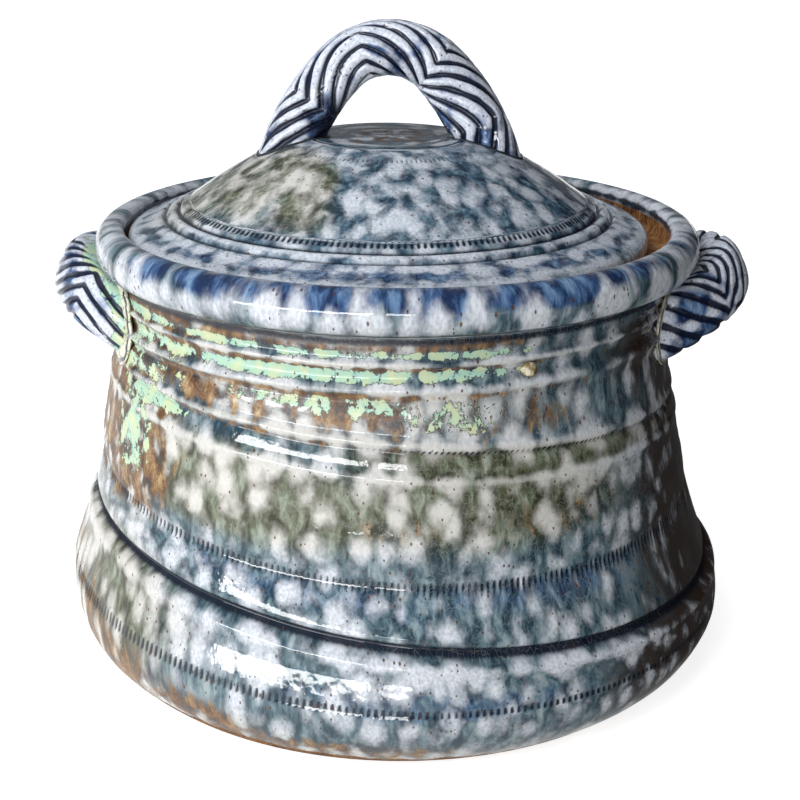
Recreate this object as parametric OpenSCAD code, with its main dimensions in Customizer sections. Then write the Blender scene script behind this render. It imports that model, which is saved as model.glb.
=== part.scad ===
// Stoneware casserole: a thrown pot with a flared skirt, a lid that lifts out of
// the gallery, an arched strap handle on the lid and two strap lugs under the rim.
// Every strap is luted on with a thin seam of slip.

/* [Pot] */
// Outer diameter of the neck under the rim
neck_d = 184.4; // [160:0.2:210]
// Height of the pot from the table to the top of the rim
pot_h = 142.3; // [130:0.1:165]
// Thickness of the thrown wall
wall_t = 7; // [5:0.5:9]
// Thickness of the floor
floor_t = 9; // [6:0.5:12]
// How far the skirt stands out past the neck
skirt_flare = 22.2; // [17:0.2:28]
// Height of the skirt's widest point
skirt_h = 18; // [13:1:23]
// How far the foot is drawn in under the skirt
foot_inset = 9.4; // [5:0.2:13]

/* [Carved lines] */
// Mean height of the deep groove above the skirt
groove_h = 39.6; // [36:0.2:46]
// How far the wall stands out past the neck at the deep groove
groove_flare = 14; // [12:0.2:16]
// Radius of the tool mark in the deep groove
groove_r = 1.8; // [1:0.1:2.4]
// Tilt of the deep groove round the body
groove_tilt = 6.2; // [2:0.2:7]
// How far the skirt's edge stands out past the wall at the deep groove
ridge_w = 2.1; // [1.5:0.1:3]
// Radius of the tool mark under the shoulder
shoulder_line_r = 0.9; // [0.5:0.1:1.4]
// Tilt of the shoulder line round the body
shoulder_line_tilt = 3.9; // [1:0.1:5]

/* [Neck rings] */
// Height of the neck below the rim
neck_drop = 21; // [19:0.5:25]
// Distance of the upper ring below the rim
upper_ring_drop = 9.2; // [7:0.2:11]
// Radius of the upper ring's bead
upper_ring_r = 1.1; // [0.6:0.1:1.6]
// Distance of the lower ring below the rim
lower_ring_drop = 16.3; // [14:0.1:17.5]
// Radius of the lower ring's bead
lower_ring_r = 2; // [1.2:0.1:2.6]

/* [Rim and gallery] */
// Height of the rolled rim
rim_h = 13.3; // [11:0.1:16]
// Width of the rolled rim
rim_w = 10; // [8.5:0.1:12]
// How far the rim stands out past the neck
rim_overhang = 7.2; // [5.5:0.1:9]
// Depth of the gallery below the top of the rim
gallery_depth = 9.3; // [7.5:0.1:11]
// Width of the ledge that carries the lid
ledge_w = 10.4; // [9:0.2:13]
// Thickness of the ledge at its lip
ledge_t = 4.5; // [3:0.5:6]

/* [Lid] */
// Play all round between a centred lid and the gallery wall
lid_play = 3.6; // [2:0.1:5]
// Gap left where the lid lies over to one side of the gallery
lid_side_gap = 0.5; // [0.4:0.05:1.2]
// Gap between the lid and the ledge
seat_gap = 0.3; // [0.2:0.05:0.6]
// Thickness of the lid's edge
lid_edge_t = 6.3; // [5:0.1:8]
// Width of the flange outside the dome
flange_w = 16.7; // [14:0.1:20]
// Rise of the flange from its edge to the foot of the dome
flange_rise = 6.2; // [4.5:0.1:8]
// Width of the raised ring between the two lid grooves
lid_ring_w = 4.4; // [3.6:0.1:5.5]
// Radius of the tool marks on the lid
lid_groove_r = 1.3; // [0.8:0.1:1.7]
// Rise of the dome from the flange to the top disc
dome_rise = 22.8; // [18:0.2:30]
// Thickness of the dome
dome_t = 6.5; // [5:0.1:8]
// Diameter of the flat disc on top
disc_d = 51.8; // [44:0.2:60]

/* [Lid handle] */
// Height of the handle above the top disc
handle_rise = 36.5; // [32:0.5:44]
// Radius of the handle's bend at the middle of the strap
bend_r = 22.6; // [19:0.2:26]
// Rise of the bend's ends, as seen from its middle
bend_from = 44; // [38:1:50]
// Radius of the legs' outward bow at the middle of the strap
leg_bow_r = 75; // [60:1:95]
// How much the legs swell past the bend
leg_swell = 0.6; // [0.2:0.1:1.2]
// Thickness of the arched strap
strap_t = 17.5; // [14:0.1:20]
// Width of the arched strap
strap_w = 22; // [17:0.2:28]

/* [Handle carving] */
// Radius of the tool mark of a carved line
carve_r = 1.1; // [0.8:0.1:1.4]
// Distance from line to line, round the strap
carve_gap = 5.3; // [4.6:0.1:6]
// Distance from turn to turn of the zigzag, along the strap
zig_run = 23; // [20:0.5:26]
// How far a line wanders round the strap from turn to turn
zig_wander = 14; // [10:0.5:16]

/* [Lugs] */
// Radius of a lug's loop at the middle of the strap
lug_r = 33.6; // [31:0.2:37]
// Thickness of a lug's strap
lug_t = 15; // [12:0.5:16]
// Width of a lug's strap
lug_w = 19.8; // [17:0.2:22]
// Upward tilt of a lug's loop
lug_tilt = 25; // [18:1:30]
// Distance of the left loop's centre inside the neck
left_lug_inset = 16.2; // [13:0.2:17]
// Distance of the right loop's centre inside the neck
right_lug_inset = 13.4; // [12:0.2:17]
// Depth of the left loop's centre below the rim
left_lug_drop = 19.4; // [17.6:0.2:22]
// Depth of the right loop's centre below the rim
right_lug_drop = 17.8; // [17.2:0.2:22]

/* [Slip] */
// Thickness of the slip in a seam
slip_t = 0.8; // [0.5:0.1:1.2]
// How far the slip squeezes out round a strap
slip_squeeze = 1; // [0.5:0.1:1.5]

/* [Hidden] */
$fn = 96;
curve_steps = 9;
// Turn of a handle leg, and its lap over the end of the bend, in degrees
leg_turn = 32;
leg_lap = 1;
// Zigzag lines on each side of the handle, runs of a line, and its first turn along the strap from its top
carve_lines = 4;
carve_runs = 4;
carve_first = -30.8;
// Shortest share of a run that is still cut, and how far a cut stops short of a turn
carve_least = 0.25;
carve_stop = 1.8;
// Part of the strap's girth that is carved, from its outer line
carve_from = 2.5;
carve_to = 25;
// How far the axis of a cut lies above the strap
carve_lift = 0.3;
// Drop and spread of the thrown wall's root below the deep groove
root_drop = 10;
root_out = 3;
// Reach of the skirt's curve past the deep groove, and how far it draws in there
skirt_reach = 10.4;
skirt_draw = 2.6;
// Undercut below the rim
undercut_h = 1.5;
undercut_w = 0.6;
// Where the rim bulges, crowns and turns in, as shares of its height or width
rim_bulge = 0.54;
rim_crown = 0.65;
rim_turn_in = 0.2;
// Flat and corner of the floor as shares of the foot, and how far the inside bellies out
floor_flat = 0.68;
floor_corner = 0.96;
belly = 0.3;
// Share of the wall's curve at which the shoulder line is cut
shoulder_at = 0.86;
// Chamfer under the lid's edge, and the soft step on top of it
edge_chamfer = 1.2;
step_w = 2;
step_drop = 1.6;
step_rise = 0.8;

neck_r = neck_d / 2;
skirt_r = neck_r + skirt_flare;
foot_r = skirt_r - foot_inset;
groove_ring_r = neck_r + groove_flare;
rim_r = neck_r + rim_overhang;
rim_z = pot_h - rim_h;
neck_z = rim_z - neck_drop;
gallery_r = rim_r - rim_w;
ledge_r = gallery_r - ledge_w;
ledge_z = pot_h - gallery_depth;

lid_r = gallery_r - lid_play;
lid_shift = lid_play - lid_side_gap;
seat_z = ledge_z + seat_gap;
edge_z = seat_z + lid_edge_t;
dome_r = lid_r - flange_w;
dome_z = edge_z + flange_rise;
disc_r = disc_d / 2;
disc_z = dome_z + dome_rise;
bend_z = disc_z + handle_rise - strap_t / 2 - bend_r;

// Points of a cubic curve from a to d with the handles b and c, without its first point
function curve(a, b, c, d) =
    [for (i = [1 : curve_steps]) curve_at(a, b, c, d, i / curve_steps)];
function curve_at(a, b, c, d, t) =
    a * pow(1 - t, 3) + 3 * b * t * pow(1 - t, 2) + 3 * c * t * t * (1 - t) + d * pow(t, 3);
// A point between a and b, at its own share of the way in each direction
function between(a, b, share_r, share_z) =
    [a.x + (b.x - a.x) * share_r, a.y + (b.y - a.y) * share_z];

// Corners of the pot's outside, from foot to gallery, each as radius and height
foot = [foot_r, 0];
skirt = [skirt_r, skirt_h];
waist = [groove_ring_r, groove_h];
wall_low = waist + [root_out, -root_drop];
skirt_top = waist + [ridge_w - skirt_draw, skirt_reach];
neck_low = [neck_r, neck_z];
neck_top = [neck_r, rim_z - undercut_h];
rim_low = [neck_r + undercut_w, rim_z];
rim_side = [rim_r, rim_z + rim_h * rim_bulge];
rim_top = [rim_r - rim_w * rim_crown, pot_h];
rim_in = [gallery_r, pot_h - rim_h * rim_turn_in];

// The thrown wall is rooted inside the skirt and runs hollow up to the neck
wall_b = between(wall_low, neck_low, 0.43, 0.26);
wall_c = between(wall_low, neck_low, 0.7, 0.67);

skirt_curve = concat(
    [foot],
    curve(foot, between(foot, skirt, 0.45, 0.2), between(foot, skirt, 1, 0.53), skirt),
    curve(skirt, between(skirt, skirt_top, 0.02, 0.12), between(skirt, skirt_top, 0.56, 0.56), skirt_top));
wall_curve = concat([[wall_low.x, skirt_h], wall_low], curve(wall_low, wall_b, wall_c, neck_low));
rim_curve = concat(
    [neck_top, rim_low],
    curve(rim_low, between(rim_low, rim_side, 0.75, 0.15), between(rim_low, rim_side, 1, 0.5), rim_side),
    curve(rim_side, between(rim_side, rim_top, 0, 0.65), between(rim_side, rim_top, 0.35, 1), rim_top),
    curve(rim_top, between(rim_top, rim_in, 0.6, 0), between(rim_top, rim_in, 1, 0.4), rim_in));
outside = concat(wall_curve, rim_curve);

// Corners of the pot's inside, from the ledge down to the floor
in_shift = [-wall_t, 0];
ledge_in = [ledge_r, ledge_z];
lip_low = [ledge_r, ledge_z - ledge_t];
neck_in = [neck_r - wall_t, min(neck_top.y, lip_low.y - 2 * ledge_t)];
neck_low_in = neck_low + in_shift;
wall_low_in = wall_low + in_shift;
floor_edge = [foot_r * floor_flat, floor_t];
floor_bend = [foot_r * floor_corner, floor_t];
belly_in = [wall_low_in.x + wall_t * belly, (wall_low_in.y + floor_t) / 2];
inside = concat(
    [[gallery_r, ledge_z], ledge_in, lip_low, neck_in, neck_low_in],
    curve(neck_low_in, wall_c + in_shift, wall_b + in_shift, wall_low_in),
    curve(wall_low_in, belly_in, floor_bend, floor_edge),
    [[0, floor_t]]);

// Where the shoulder line crosses the wall
shoulder = curve_at(wall_low, wall_b, wall_c, neck_low, shoulder_at);

// Two beads round the neck: a thin one on its surface and a fuller one sunk by a third
module neck_rings() {
    translate([neck_r, rim_z - upper_ring_drop]) circle(r = upper_ring_r);
    translate([neck_r - lower_ring_r / 3, rim_z - lower_ring_drop]) circle(r = lower_ring_r);
}

// The filled outside of the thrown wall, grown sideways for seams that lie on it
module pot_envelope(grow = 0) {
    rotate_extrude() union() {
        polygon(concat([[0, skirt_h]], [for (p = outside) p + [grow, 0]], [[0, rim_in.y]]));
        translate([grow, 0]) neck_rings();
    }
}

// A tool mark that runs round the body on a tilt, at a point of the wall with that lean
module tilted_line(at, lean, tilt, mark_r) {
    translate([lean * at.x * tan(tilt), 0, at.y])
        rotate([0, tilt, 0])
            rotate_extrude() translate([at.x, 0]) circle(r = mark_r, $fn = 32);
}

// Radius lost for each millimetre of height where the tool marks run
groove_lean = root_out / root_drop;
shoulder_lean = (shoulder.x - neck_r) / (neck_z - shoulder.y);

// The filled skirt, cut off along the tilt of the deep groove
module skirt_body() {
    intersection() {
        rotate_extrude() polygon(concat([[0, 0]], skirt_curve, [[0, skirt_top.y]]));
        translate([0, 0, groove_h]) rotate([0, groove_tilt, 0])
            translate([0, 0, -pot_h]) cylinder(r = 2 * skirt_r, h = pot_h);
    }
}

module pot_hollow() {
    rotate_extrude() polygon(concat([[0, pot_h], [gallery_r, pot_h]], inside));
}

module pot_body() {
    color("#a9b1b2") difference() {
        union() {
            pot_envelope();
            skirt_body();
        }
        pot_hollow();
        tilted_line(waist, groove_lean, groove_tilt, groove_r);
        tilted_line(shoulder, shoulder_lean, shoulder_line_tilt, shoulder_line_r);
    }
}

// Cross-section of a strap with well rounded edges
function strap_corner(thick, wide) = 0.46 * min(thick, wide);
module strap_section(thick, wide) {
    corner = strap_corner(thick, wide);
    union() {
        square([thick - 2 * corner, wide], center = true);
        square([thick, wide - 2 * corner], center = true);
        for (sx = [-1, 1], sy = [-1, 1])
            translate([sx * (thick / 2 - corner), sy * (wide / 2 - corner)]) circle(r = corner, $fn = 48);
    }
}

// A lug's loop on the right, whole, before the wall cuts off its feet
module lug_loop(inset, depth, grow = 0) {
    translate([neck_r - inset, 0, rim_z - depth]) rotate([0, -lug_tilt, 0])
        rotate([0, 0, -90]) rotate_extrude(angle = 180)
            translate([lug_r, 0]) strap_section(lug_t + 2 * grow, lug_w + 2 * grow);
}

module lug_strap(inset, depth) {
    difference() {
        lug_loop(inset, depth);
        pot_envelope(slip_t);
    }
}

// Slip squeezed between the feet of a lug and the neck, kept clear of the rim
module lug_seam(inset, depth) {
    seam_top = rim_z - 2 * slip_t;
    difference() {
        intersection() {
            lug_loop(inset, depth, slip_squeeze);
            pot_envelope(slip_t);
            cylinder(r = skirt_r, h = seam_top);
        }
        pot_envelope();
    }
}

module right_lug() { color("#c3c8cb") lug_strap(right_lug_inset, right_lug_drop); }
module right_lug_slip() { color("#d8d3bd") lug_seam(right_lug_inset, right_lug_drop); }
module left_lug() { color("#c3c8cb") mirror([1, 0, 0]) lug_strap(left_lug_inset, left_lug_drop); }
module left_lug_slip() { color("#d8d3bd") mirror([1, 0, 0]) lug_seam(left_lug_inset, left_lug_drop); }

// Corners of the lid, each as radius and height
lid_edge_low = [lid_r - edge_chamfer, seat_z];
lid_edge_side = [lid_r, seat_z + edge_chamfer];
lid_edge_top = [lid_r, edge_z - step_drop];
lid_edge_in = [lid_r - step_w, edge_z + step_rise];
dome_foot = [dome_r, dome_z];
disc_edge = [disc_r, disc_z];
dome_b = between(dome_foot, disc_edge, 0.33, 0.43);
dome_c = between(dome_foot, disc_edge, 0.72, 0.87);
drop = [0, -dome_t];
hollow_foot = [dome_r - 0.5 * dome_t, dome_z - dome_t];
hollow_top = disc_edge + drop;

lid_outside = concat(
    [lid_edge_low, lid_edge_side, lid_edge_top, lid_edge_in, dome_foot],
    curve(dome_foot, dome_b, dome_c, disc_edge));
lid_inside = concat(
    [[0, hollow_top.y], hollow_top],
    curve(hollow_top, dome_c + drop, dome_b + drop, hollow_foot),
    [[dome_r + 0.5 * dome_t, seat_z]]);
// The outer lid groove lies on the slope of the flange
outer_groove_r = dome_r + lid_ring_w;
outer_groove_z = dome_z - flange_rise * lid_ring_w / flange_w;

// The lid's filled outside, raised for seams that lie on it
module lid_envelope(raise = 0) {
    translate([-lid_shift, 0, raise]) rotate_extrude()
        polygon(concat([[0, seat_z]], lid_outside, [[0, disc_z]]));
}

module lid() {
    color("#9aa3a6") translate([-lid_shift, 0, 0]) rotate_extrude() difference() {
        polygon(concat(lid_outside, [[0, disc_z]], lid_inside));
        translate([dome_r, dome_z + lid_groove_r / 2]) circle(r = lid_groove_r, $fn = 32);
        translate([outer_groove_r, outer_groove_z + lid_groove_r / 2]) circle(r = lid_groove_r, $fn = 32);
        translate([disc_r, disc_z + lid_groove_r / 3]) circle(r = lid_groove_r / 2, $fn = 32);
    }
}

// The lid handle's strap, whole: a bend lapped by two bowed legs that run down into the dome
leg_back = leg_bow_r - bend_r;
module lid_arch(grow = 0) {
    leg_grow = grow + leg_swell;
    translate([-lid_shift, 0, bend_z]) rotate([90, 0, 0]) {
        rotate([0, 0, bend_from]) rotate_extrude(angle = 180 - 2 * bend_from)
            translate([bend_r, 0]) strap_section(strap_t + 2 * grow, strap_w + 2 * grow);
        for (side = [0, 1])
            mirror([side, 0, 0]) translate([-leg_back * cos(bend_from), -leg_back * sin(bend_from), 0])
                rotate([0, 0, bend_from - leg_turn]) rotate_extrude(angle = leg_turn + leg_lap)
                    translate([leg_bow_r, 0]) strap_section(strap_t + 2 * leg_grow, strap_w + 2 * leg_grow);
    }
}

// Slant of the strap, from upright, at a distance along it from the top
bend_half = 90 - bend_from;
bend_len = bend_r * bend_half * PI / 180;
function slant_at(along) = abs(along) < bend_len
    ? along / bend_r * 180 / PI
    : sign(along) * (bend_half + (abs(along) - bend_len) / leg_bow_r * 180 / PI);
// Middle of the strap there, sideways and up from the middle of the bend
function middle_at(along) = abs(along) < bend_len
    ? bend_r * [sin(slant_at(along)), cos(slant_at(along))]
    : leg_bow_r * [sin(slant_at(along)), cos(slant_at(along))]
        - leg_back * [sign(along) * cos(bend_from), sin(bend_from)];

// A place round the strap, outwards and sideways from its middle, by its distance from the outer line
corner_r = strap_corner(strap_t, strap_w);
outer_flat = strap_w / 2 - corner_r;
corner_len = corner_r * PI / 2;
function round_at(girth) = girth < outer_flat
    ? [strap_t / 2, girth]
    : girth < outer_flat + corner_len
        ? [strap_t / 2 - corner_r, outer_flat] + corner_r * turned((girth - outer_flat) / corner_r)
        : [corner_r - strap_t / 2, outer_flat]
            + corner_r * turned((girth - outer_flat - strap_t + 2 * corner_r) / corner_r);
function turned(angle) = [cos(angle * 180 / PI), sin(angle * 180 / PI)];

// A place on the front of the handle, lifted off the strap
function carve_point(along, girth) =
    let (spot = round_at(girth) * (1 + carve_lift / norm(round_at(girth))),
         slant = slant_at(along),
         middle = middle_at(along) + spot.x * [sin(slant), cos(slant)])
    [middle.x - lid_shift, -spot.y, bend_z + middle.y];

// One run of a carved line: the tool mark swept along the arc through three places
module carve_run(a, middle, b) {
    near = middle - a;
    far = b - a;
    axis = cross(near, far);
    out = (cross(axis, near) * (far * far) + cross(far, axis) * (near * near)) / (2 * axis * axis);
    lean = acos(axis.z / norm(axis));
    aim = atan2(axis.y, axis.x);
    level = [-sin(aim), cos(aim), 0];
    slope = [cos(lean) * cos(aim), cos(lean) * sin(aim), -sin(lean)];
    from = atan2(-out * level, -out * slope);
    to = atan2((far - out) * level, (far - out) * slope);
    stop = carve_stop / norm(out) * 180 / PI;
    translate(a + out) rotate([0, lean, aim]) rotate([0, 0, from + stop])
        rotate_extrude(angle = (to - from + 720) % 360 - 2 * stop)
            translate([norm(out), 0]) circle(r = carve_r, $fn = 24);
}

// How far round the strap a line runs at a number of runs from its first turn
function zig_at(line, runs) =
    carve_from + carve_gap * (line - 0.5) + zig_wander * abs(1 - (runs - 2 * floor(runs / 2)));
function zig_point(line, runs) = carve_point(carve_first + zig_run * runs, zig_at(line, runs));
// Share of a run, from its first turn, at which the line reaches a distance round the strap
function run_share(line, run, girth) =
    max(0, min(1, (girth - zig_at(line, run)) / (zig_at(line, run + 1) - zig_at(line, run))));

module zigzags() {
    for (line = [0 : carve_lines - 1], run = [0 : carve_runs - 1]) {
        ends = [run_share(line, run, carve_from), run_share(line, run, carve_to)];
        from = run + min(ends);
        to = run + max(ends);
        if (to - from > carve_least)
            carve_run(zig_point(line, from), zig_point(line, (from + to) / 2), zig_point(line, to));
    }
}

module lid_handle() {
    color("#c3c8cb") difference() {
        lid_arch();
        lid_envelope(slip_t);
        for (side = [0, 1]) mirror([0, side, 0]) zigzags();
    }
}

// Slip squeezed between the feet of the handle and the dome
module lid_handle_slip() {
    color("#d8d3bd") difference() {
        intersection() {
            lid_arch(slip_squeeze);
            lid_envelope(slip_t);
        }
        lid_envelope();
    }
}

pot_body();
left_lug();
right_lug();
left_lug_slip();
right_lug_slip();
lid();
lid_handle();
lid_handle_slip();
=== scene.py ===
import bmesh
import bpy
import math
from mathutils import Matrix, Vector, noise


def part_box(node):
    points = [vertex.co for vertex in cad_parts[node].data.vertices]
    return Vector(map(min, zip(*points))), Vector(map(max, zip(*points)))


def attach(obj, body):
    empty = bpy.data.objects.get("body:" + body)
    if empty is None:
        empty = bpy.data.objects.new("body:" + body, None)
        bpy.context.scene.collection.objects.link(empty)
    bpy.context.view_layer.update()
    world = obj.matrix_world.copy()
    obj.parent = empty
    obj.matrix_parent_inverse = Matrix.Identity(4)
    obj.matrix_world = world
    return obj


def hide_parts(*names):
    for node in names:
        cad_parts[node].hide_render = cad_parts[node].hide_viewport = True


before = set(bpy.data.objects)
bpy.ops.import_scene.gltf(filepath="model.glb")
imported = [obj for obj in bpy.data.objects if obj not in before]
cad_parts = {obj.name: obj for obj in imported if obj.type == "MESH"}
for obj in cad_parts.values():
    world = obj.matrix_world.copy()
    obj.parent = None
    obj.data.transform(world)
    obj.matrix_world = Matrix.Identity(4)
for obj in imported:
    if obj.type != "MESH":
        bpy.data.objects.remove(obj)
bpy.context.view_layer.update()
mm = 0.001
lidLow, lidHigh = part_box("lid")
lidX = (lidLow.x + lidHigh.x) / 2 / mm  # the lid lies over to the left of the gallery
print("frame loaded with", len(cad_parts), "nodes")


# Small helpers, all lengths in millimetres until a piece is finished
def bell(distance, halfWidth):
    share = min(1.0, abs(distance) / halfWidth)
    return (1 - share * share) ** 2


def ease(low, high, value):
    share = min(1.0, max(0.0, (value - low) / (high - low)))
    return share * share * (3 - 2 * share)


def wander(x, y, z, size):
    return noise.noise(Vector((x / size, y / size, z / size)))


def through(stations, at):  # smooth curve through stations that are keyed by their first number
    last = len(stations) - 1
    at = min(max(at, stations[0][0]), stations[last][0])
    i = max(k for k in range(last) if stations[k][0] <= at)
    a, b = stations[i], stations[i + 1]
    before, after = stations[max(i - 1, 0)], stations[min(i + 2, last)]
    span = b[0] - a[0]
    t = (at - a[0]) / span
    values = []
    for k in range(1, len(a)):
        leave = (b[k] - before[k]) / (b[0] - before[0]) * span
        arrive = (after[k] - a[k]) / (after[0] - a[0]) * span
        bulge = (1 - t) * leave - t * arrive
        step = t * t * (3 - 2 * t)
        values.append(a[k] + (b[k] - a[k]) * step + t * (1 - t) * bulge)
    return values


def smoothRun(points, steps):  # points along a run that bends through each of the given ones
    keyed = [(k, *p) for k, p in enumerate(points)]
    count = (len(points) - 1) * steps
    return [through(keyed, k / steps) for k in range(count + 1)]


def runLength(points):
    return sum(math.dist(a, b) for a, b in zip(points, points[1:]))


def linear(stations, at):  # straight runs between stations
    for (a, low), (b, high) in zip(stations, stations[1:]):
        if at <= b:
            return low + (high - low) * max(0.0, at - a) / (b - a)
    return stations[-1][1]


def reachingRow(patches, mark):  # those soft patches that reach a row, with their distance from it
    near = [(turn, wide, ((mark - at) / tall) ** 2, strength) for turn, at, wide, tall, strength in patches]
    return [p for p in near if p[2] < 2.5]  # farther off, a patch has no strength left


def strongest(near, turn):  # strongest of those patches at a turn round the axis, flat in its middle
    best = 0.0
    for at, wide, above, strength in near:
        away = (turn - at + 180) % 360 - 180
        best = max(best, strength * math.exp(-(above + (away / wide) ** 2) ** 2))
    return best


glazeFields = ["pool", "mint", "rust", "olive", "cobalt", "pale", "bare", "craze", "umberAndShade"]


def glazeLayers(bm):  # one value per point for each colour, and the place at which the glaze is looked up
    layers = {name: bm.verts.layers.float.new(name) for name in glazeFields}
    layers["glazeMap"] = bm.verts.layers.float_vector.new("glazeMap")
    return layers


def sheetOfRows(rowCount, columns):  # x counts the columns and y the rows, until the sheet is bent round
    bm = bmesh.new()
    layers = glazeLayers(bm)
    bmesh.ops.create_grid(bm, x_segments=columns, y_segments=rowCount - 1, size=0.5)
    bmesh.ops.translate(bm, verts=bm.verts, vec=(0.5, 0.5, 0))
    bmesh.ops.scale(bm, verts=bm.verts, vec=(columns, rowCount - 1, 1))
    return bm, layers


def turnAt(column, columns):  # angle round the axis, with its degrees, cosine and sine
    theta = 2 * math.pi * column / columns - math.pi
    return math.degrees(theta), math.cos(theta), math.sin(theta)


def toObject(bm, name, material):
    mesh = bpy.data.meshes.new(name)
    bm.to_mesh(mesh)
    bm.free()
    mesh.materials.append(material)
    thing = bpy.data.objects.new(name, mesh)
    bpy.context.scene.collection.objects.link(thing)
    return thing


def finishPiece(bm, name, material, body, nodes):
    bmesh.ops.scale(bm, vec=(mm, mm, mm), verts=bm.verts)
    bmesh.ops.remove_doubles(bm, verts=bm.verts, dist=0.002 * mm)
    bmesh.ops.recalc_face_normals(bm, faces=bm.faces)
    for face in bm.faces:
        face.smooth = True
    piece = toObject(bm, name, material)
    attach(piece, body)
    if nodes:
        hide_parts(*nodes)
    print(name, "made with", len(piece.data.polygons), "faces")


# Materials
def tint(code):  # sRGB hex to linear
    parts = [int(code[k:k + 2], 16) / 255 for k in (0, 2, 4)]
    return [p / 12.92 if p <= 0.04045 else ((p + 0.055) / 1.055) ** 2.4 for p in parts] + [1.0]


def putNode(tree, kind, inputs=None, stops=None, **settings):  # one node, set and linked
    node = tree.nodes.new("ShaderNode" + kind)
    for name, value in settings.items():
        setattr(node, name, value)
    for key, value in (inputs or {}).items():
        if isinstance(value, bpy.types.NodeSocket):
            tree.links.new(value, node.inputs[key])
        else:
            node.inputs[key].default_value = value
    for at, code in stops or []:
        node.color_ramp.elements.new(at).color = tint(code)
    if stops:
        node.color_ramp.elements.remove(node.color_ramp.elements[0])
        node.color_ramp.elements.remove(node.color_ramp.elements[-1])
    return node


def put(tree, kind, inputs=None, out=0, stops=None, **settings):  # the same, for one of its outputs
    node = putNode(tree, kind, inputs, stops, **settings)
    return node.outputs[out] if node.outputs else None


def timesPlus(tree, value, weight, base):
    return put(tree, "Math", {0: value, 1: weight, 2: base}, operation="MULTIPLY_ADD")


def stepUp(tree, value, low, high, most=1.0):  # smooth step from none to the most
    return put(tree, "MapRange", {0: value, 1: low, 2: high, 4: most}, interpolation_type="SMOOTHSTEP")


def cover(tree, share, below, above):  # one colour laid over another
    return put(tree, "Mix", {0: share, 6: below, 7: above}, out=2, data_type="RGBA")


def mottle(tree, place, size, detail, out=0, **more):  # cloudy noise of a real size
    return put(tree, "TexNoise", {"Vector": place, "Scale": 1 / size, "Detail": detail, **more}, out=out)


def blankMaterial(name):
    material = bpy.data.materials.new(name)
    material.use_nodes = True
    material.node_tree.nodes.clear()
    return material, material.node_tree


glazeSteps = {  # where each layer begins and is full, and how much of what lies under it is hidden
    "olive": (0.35, 1.15, 0.95), "cobalt": (0.6, 1.3, 0.94), "rust": (0.66, 0.94, 0.95),
    "umberAndShade": (0.6, 1.05, 0.94), "mintEdge": (0.88, 0.93), "mintCore": (0.93, 0.97),
    "pool": (0.38, 0.95, 0.97), "bare": (0.78, 0.9),
}
glazeWeights = {
    "dropBase": -0.43, "broad": 0.35, "grain": 0.1, "pale": 0.3,  # how far a place lies inside a drop
    "ringWide": 0.3, "ringDark": -0.13,  # dark ring round each drop
    "oliveCloud": 0.5, "cobaltCloud": 0.8, "creamRust": 0.9, "creamMost": 0.7,
    "rustDrop": -0.3, "rustField": 0.5, "rustPale": -0.22,
    "rustBlot": 0.3, "rustMottle": 0.6, "rustDry": 0.36,
    "umberDrop": -0.22, "umberField": 0.62,
    "flake": 1.6, "flakeBase": -0.3, "mintField": 0.5, "poolGrain": 0.5,
    "crazeWide": 0.03, "crazeClear": 0.26,
    "speckFrom": 0.25, "speckMost": 0.29, "speckEdge": 0.06, "speckDark": 0.85,
    "bareFlake": 0.7, "clayGrain": 0.5, "clayRough": 0.75,
}


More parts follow.
